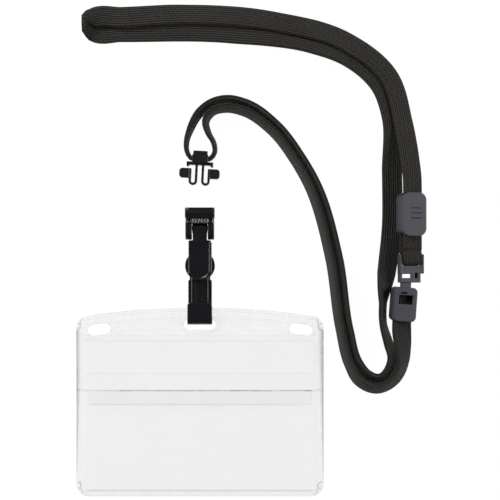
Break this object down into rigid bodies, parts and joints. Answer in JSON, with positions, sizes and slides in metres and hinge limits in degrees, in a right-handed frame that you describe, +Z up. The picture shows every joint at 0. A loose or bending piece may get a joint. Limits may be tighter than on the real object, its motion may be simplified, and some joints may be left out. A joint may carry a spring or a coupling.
{
  "type": "lanyard badge holder",
  "caption": "Clear soft horizontal card case on a plastic J-hook clip with a thumb lever, and a detachable plug on a flat braided neck strap with an adjuster and a breakaway buckle.",
  "frame": {"origin": "on the surface that the part lies on, under the middle of the card case and its clip, without the strap", "axes": "+Z up from the surface; +Y along the clip from the case towards the plug; +X across the case, towards the strap's loop"},
  "size_m": [0.1415, 0.1996, 0.0104],
  "materials": {
    "clear_vinyl": "clear soft vinyl, bluish at its edges",
    "clip_plastic": "moulded, polished, black",
    "plug_plastic": "moulded, satin to gloss, black",
    "pin_steel": "drawn wire and strip",
    "fitting_plastic": "moulded, matte, dark slate grey",
    "braid": "flat tubular braid, warm black"
  },
  "bodies": {
    "lanyard": {"strap_short_run": "braid", "strap_long_run": "braid", "strap_tail": "braid", "plug_body": "plug_plastic", "plug_cap": "plug_plastic", "buckle_upper_frame": "fitting_plastic", "buckle_upper_bar": "fitting_plastic"},
    "wing_left": {"plug_wing_left": "plug_plastic"},
    "wing_right": {"plug_wing_right": "plug_plastic"},
    "adjuster": {"adjuster_front_cover": "fitting_plastic", "adjuster_back_cover": "fitting_plastic", "adjuster_bar": "fitting_plastic"},
    "buckle_lower": {"buckle_lower_base": "fitting_plastic", "buckle_lower_cover": "fitting_plastic"},
    "socket": {"socket_shell": "clip_plastic", "swivel_pin": "pin_steel"},
    "hook": {"hook_body": "clip_plastic", "lever_pin": "pin_steel", "lever_spring": "pin_steel"},
    "lever": {"lever": "clip_plastic"},
    "case": {"case_back_sheet": "clear_vinyl", "case_front_upper": "clear_vinyl", "case_front_lower": "clear_vinyl"}
  },
  "joints": [
    {"name": "plug_in", "type": "slide", "parent": "lanyard", "child": "socket", "axis": [0, 1, 0], "range_m": [0, 0.011]},
    {"name": "hook_swivel", "type": "hinge", "parent": "socket", "child": "hook", "pos_m": [0, 0.0504, 0.0035], "axis": [1, 0, 0], "range_deg": [-40, 40]},
    {"name": "lever_press", "type": "hinge", "parent": "hook", "child": "lever", "pos_m": [0, 0.044, 0.0045], "axis": [1, 0, 0], "range_deg": [0, 3.6], "stiffness_Nm_per_rad": 0.05},
    {"name": "case_swing", "type": "hinge", "parent": "hook", "child": "case", "pos_m": [0, 0.0136, 0.0018], "axis": [1, 0, 0], "range_deg": [0, 12]},
    {"name": "wing_left_squeeze", "type": "hinge", "parent": "lanyard", "child": "wing_left", "pos_m": [-0.00408, 0.06956, 0.0035], "axis": [0, 0, -1], "range_deg": [0, 12], "stiffness_Nm_per_rad": 0.02},
    {"name": "wing_right_squeeze", "type": "hinge", "parent": "lanyard", "child": "wing_right", "pos_m": [0.00351, 0.06916, 0.0035], "axis": [0, 0, 1], "range_deg": [0, 12], "stiffness_Nm_per_rad": 0.02},
    {"name": "adjuster_slide", "type": "slide", "parent": "lanyard", "child": "adjuster", "axis": [0, 1, 0], "range_m": [-0.005, 0.004]},
    {"name": "buckle_pull", "type": "slide", "parent": "lanyard", "child": "buckle_lower", "axis": [-0.0698, -0.9976, 0], "range_m": [0, 0.003]}
  ]
}
